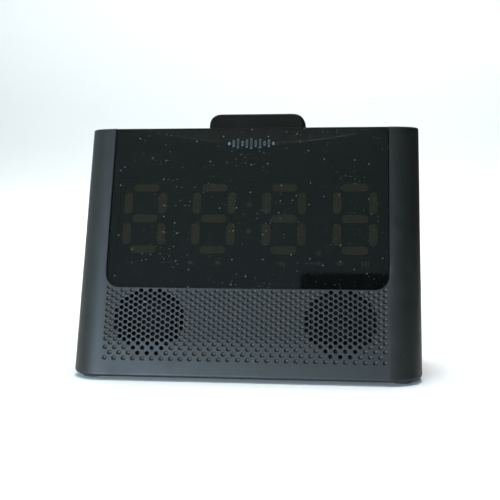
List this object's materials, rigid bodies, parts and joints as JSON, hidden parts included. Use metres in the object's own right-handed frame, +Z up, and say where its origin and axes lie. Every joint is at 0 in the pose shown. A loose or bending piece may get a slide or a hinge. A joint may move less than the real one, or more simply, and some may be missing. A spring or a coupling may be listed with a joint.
{
  "type": "alarm clock radio",
  "caption": "Bedside alarm clock radio: leaning wedge case, full-width smoked LED display window over a perforated speaker grille, snooze bar and push buttons on top.",
  "frame": {"origin": "middle of the footprint, on the surface that the feet stand on", "axes": "+X to the right seen from the front, the display faces -Y, +Z up"},
  "size_m": [0.2098, 0.1088, 0.1631],
  "materials": {
    "case_plastic": "fine matt spark texture",
    "top_plastic": "matt",
    "smoked_window": "polished smoked acrylic",
    "mask_black": "dead matt",
    "digit_block": "satin with pale segment fillings",
    "circuit_board": "solder mask",
    "button_rubber": "soft-touch",
    "foot_rubber": "matt",
    "steel": "bright zinc plate",
    "basket_steel": "black stove enamel",
    "cone_paper": "pressed paper pulp",
    "magnet": "ferrite ring and zinc back plate",
    "gasket_foam": "closed-cell foam",
    "connector_black": "glass-filled nylon",
    "cell_sleeve": "printed shrink sleeve",
    "capacitor_sleeve": "shrink sleeve",
    "ribbon": "flat cable",
    "spring_steel": "drawn wire and plate"
  },
  "bodies": {
    "chassis": {"front_housing": "case_plastic", "rear_cover": "case_plastic", "base_plate": "case_plastic", "speaker_grille": "case_plastic", "top_panel": "top_plastic", "display_lens": "smoked_window", "display_mask": "mask_black", "led_digit_block": "digit_block", "display_board": "circuit_board", "key_board": "circuit_board", "main_board": "circuit_board", "snooze_switch": "connector_black", "keypad_membrane": "button_rubber", "snooze_spring_left": "spring_steel", "snooze_spring_right": "spring_steel", "tuner_shield": "steel", "filter_capacitor_1": "capacitor_sleeve", "filter_capacitor_2": "capacitor_sleeve", "dc_jack": "connector_black", "aux_jack": "connector_black", "usb_port": "connector_black", "ribbon_cable": "ribbon", "battery_tray": "case_plastic", "backup_cell_1": "cell_sleeve", "backup_cell_2": "cell_sleeve", "battery_contact_left": "spring_steel", "battery_contact_right": "spring_steel", "foot_front_left": "foot_rubber", "case_screw_front_left": "steel", "foot_front_right": "foot_rubber", "case_screw_front_right": "steel", "foot_rear_left": "foot_rubber", "case_screw_rear_left": "steel", "foot_rear_right": "foot_rubber", "case_screw_rear_right": "steel", "board_screw_1": "steel", "board_screw_2": "steel", "board_screw_3": "steel", "board_screw_4": "steel", "left_speaker_gasket": "gasket_foam", "left_speaker_basket": "basket_steel", "left_speaker_cone": "cone_paper", "left_speaker_magnet": "magnet", "right_speaker_gasket": "gasket_foam", "right_speaker_basket": "basket_steel", "right_speaker_cone": "cone_paper", "right_speaker_magnet": "magnet"},
    "snooze_key": {"snooze_bar": "top_plastic"},
    "battery_hatch": {"battery_door": "case_plastic"},
    "alarm_one_key": {"alarm_one_button": "button_rubber"},
    "alarm_two_key": {"alarm_two_button": "button_rubber"},
    "mode_key": {"mode_button": "button_rubber"},
    "volume_down_key": {"volume_down_button": "button_rubber"},
    "volume_up_key": {"volume_up_button": "button_rubber"},
    "dimmer_key": {"dimmer_button": "button_rubber"}
  },
  "joints": [
    {"name": "snooze_press", "type": "slide", "parent": "chassis", "child": "snooze_key", "axis": [0, 0, -1], "range_m": [0, 0.002], "stiffness_N_per_m": 600, "springref_m": -0.003, "deforming": ["snooze_spring_left", "snooze_spring_right"]},
    {"name": "alarm_one_press", "type": "slide", "parent": "chassis", "child": "alarm_one_key", "axis": [0, 0, -1], "range_m": [0, 0.001], "stiffness_N_per_m": 800, "springref_m": -0.001},
    {"name": "alarm_two_press", "type": "slide", "parent": "chassis", "child": "alarm_two_key", "axis": [0, 0, -1], "range_m": [0, 0.001], "stiffness_N_per_m": 800, "springref_m": -0.001},
    {"name": "mode_press", "type": "slide", "parent": "chassis", "child": "mode_key", "axis": [0, 0, -1], "range_m": [0, 0.001], "stiffness_N_per_m": 800, "springref_m": -0.001},
    {"name": "volume_down_press", "type": "slide", "parent": "chassis", "child": "volume_down_key", "axis": [0, 0, -1], "range_m": [0, 0.001], "stiffness_N_per_m": 800, "springref_m": -0.001},
    {"name": "volume_up_press", "type": "slide", "parent": "chassis", "child": "volume_up_key", "axis": [0, 0, -1], "range_m": [0, 0.001], "stiffness_N_per_m": 800, "springref_m": -0.001},
    {"name": "dimmer_press", "type": "slide", "parent": "chassis", "child": "dimmer_key", "axis": [0, 0, -1], "range_m": [0, 0.001], "stiffness_N_per_m": 800, "springref_m": -0.001},
    {"name": "battery_hatch_pull", "type": "slide", "parent": "chassis", "child": "battery_hatch", "axis": [0, 0, -1], "range_m": [0, 0.02]}
  ]
}
